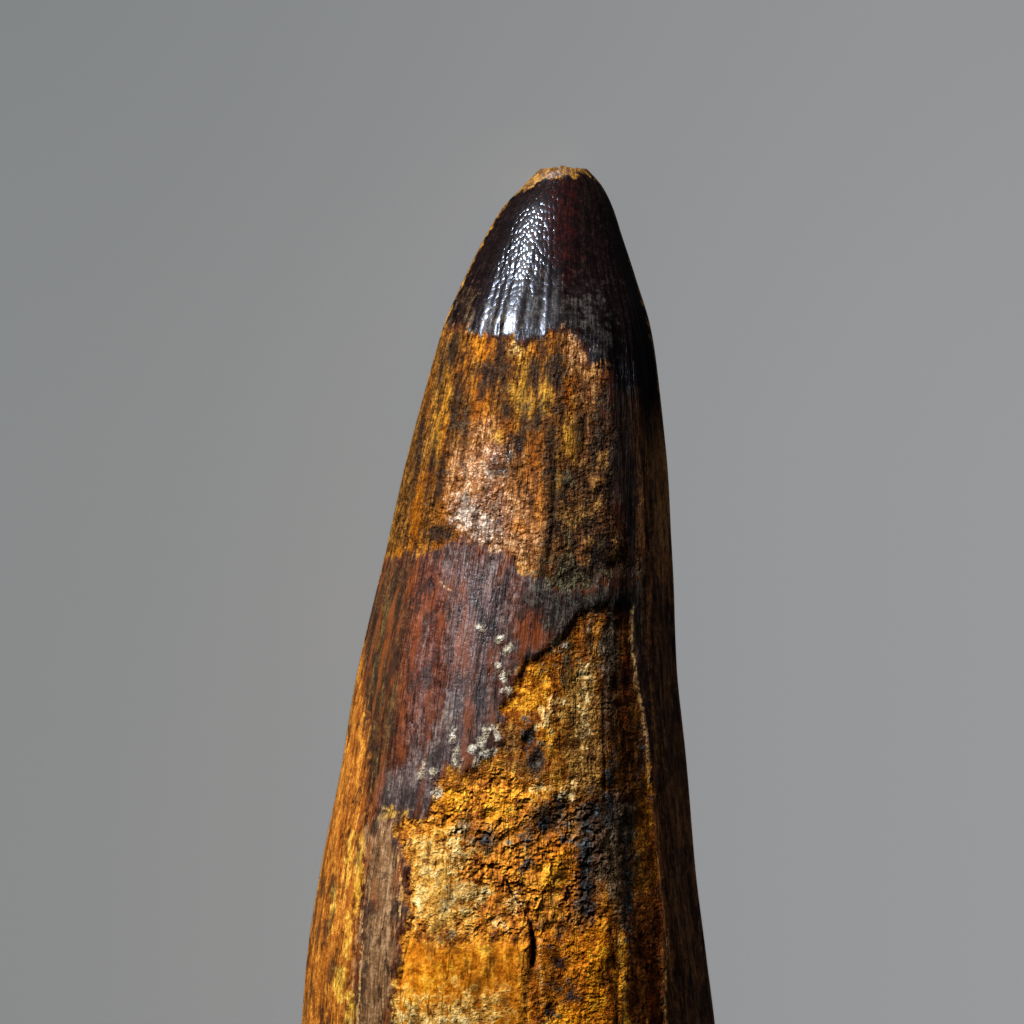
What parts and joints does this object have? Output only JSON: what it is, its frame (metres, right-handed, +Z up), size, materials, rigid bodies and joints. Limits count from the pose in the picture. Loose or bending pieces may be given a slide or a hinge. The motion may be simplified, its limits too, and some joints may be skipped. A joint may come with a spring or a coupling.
{
  "type": "fossil mosasaur tooth",
  "caption": "Tall conical fossil reptile tooth lying on its side, with a worn tip, stained and broken enamel, and a short broken stub of root.",
  "frame": {"origin": "on the surface that the tooth lies on, under the middle of its box", "axes": "+Y along the tooth towards its worn tip, +X to the right as seen from above, +Z up out of the face that looks up"},
  "size_m": [0.0178, 0.0468, 0.0141],
  "materials": {
    "fossil_enamel": "stained fossil enamel, glossy dark brown near the tip and satin red-brown below, over rough orange-brown dentine"
  },
  "bodies": {
    "root": {"tooth": "fossil_enamel"}
  },
  "joints": []
}
